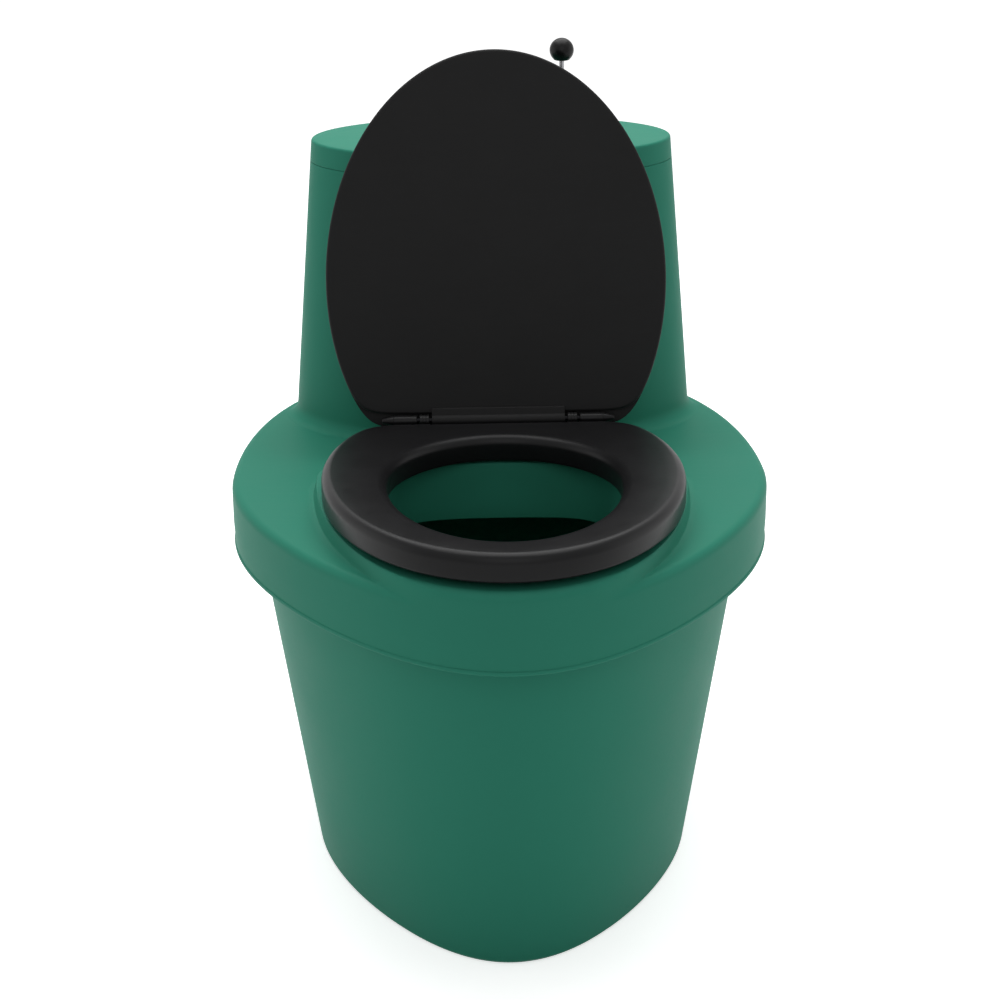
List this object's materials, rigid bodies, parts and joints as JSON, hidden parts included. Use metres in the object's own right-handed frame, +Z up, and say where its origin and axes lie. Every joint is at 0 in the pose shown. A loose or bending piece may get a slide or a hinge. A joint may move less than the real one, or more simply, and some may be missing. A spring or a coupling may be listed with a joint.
{
  "type": "composting toilet",
  "caption": "Oval dry toilet with a lift-off cover, hinged seat and lid, a litter hopper behind with a ball-knob lever that rocks a dosing gate, and rear vent and drain outlets.",
  "frame": {"origin": "middle of the container's base, on the floor", "axes": "+Z up, the seat's front faces -Y, the hopper is at +Y, +X to the right of someone who looks at the front"},
  "size_m": [0.6, 0.8158, 0.8928],
  "materials": {
    "green_shell": "satin rotation-moulded polyethylene, dark green",
    "bin_plastic": "satin black moulded plastic",
    "black_plastic": "black moulded plastic",
    "seat_black": "satin black seat plastic",
    "lid_black": "matt black seat plastic",
    "knob_black": "glossy black ball",
    "strainer_grey": "dark grey moulded plastic",
    "mat_felt": "grey needled felt",
    "rubber": "black rubber",
    "steel": "stainless steel",
    "rod_chrome": "polished rod",
    "gate_plastic": "natural wear-resistant plastic",
    "bush_plastic": "white bearing plastic",
    "hub_plastic": "dark grey moulded plastic"
  },
  "bodies": {
    "container": {"container": "green_shell", "strainer": "strainer_grey", "filter_mat": "mat_felt", "rim_seal": "rubber", "drain_spigot": "black_plastic", "drain_gasket": "rubber", "drain_nut": "black_plastic", "vent_collar": "black_plastic", "vent_gasket": "rubber", "vent_screws": "steel"},
    "cover": {"cover": "green_shell", "chute": "green_shell", "chute_screws": "steel", "litter_bin": "bin_plastic", "deflector": "black_plastic", "deflector_screws": "steel", "bush_left": "bush_plastic", "bush_right": "bush_plastic", "hinge_post_left": "seat_black", "hinge_post_right": "seat_black", "post_washers": "rubber", "post_nuts": "steel", "hinge_pins": "steel"},
    "lever": {"dosing_shaft": "steel", "dosing_gate": "gate_plastic", "gate_pins": "steel", "shaft_clips": "steel", "lever_hub": "hub_plastic", "hub_screw": "steel", "lever_rod": "rod_chrome", "ball_knob": "knob_black"},
    "hopper_lid": {"hopper_lid": "green_shell"},
    "seat": {"seat_ring": "seat_black", "seat_bumpers": "rubber", "hinge_caps": "seat_black"},
    "lid": {"seat_lid": "lid_black"}
  },
  "joints": [
    {"name": "cover_lift", "type": "slide", "parent": "container", "child": "cover", "axis": [0, 0, 1], "range_m": [0, 0.12]},
    {"name": "seat_hinge", "type": "hinge", "parent": "cover", "child": "seat", "pos_m": [0, 0.021, 0.4935], "axis": [1, 0, 0], "range_deg": [-100, 0]},
    {"name": "lid_hinge", "type": "hinge", "parent": "cover", "child": "lid", "pos_m": [0, 0.021, 0.4935], "axis": [1, 0, 0], "range_deg": [0, 103.35]},
    {"name": "hopper_lid_lift", "type": "slide", "parent": "cover", "child": "hopper_lid", "axis": [0, 0.231, 0.973], "range_m": [0, 0.03]},
    {"name": "dosing_lever", "type": "hinge", "parent": "cover", "child": "lever", "pos_m": [0, 0.217, 0.5], "axis": [1, 0, 0], "range_deg": [-11, 11]}
  ]
}
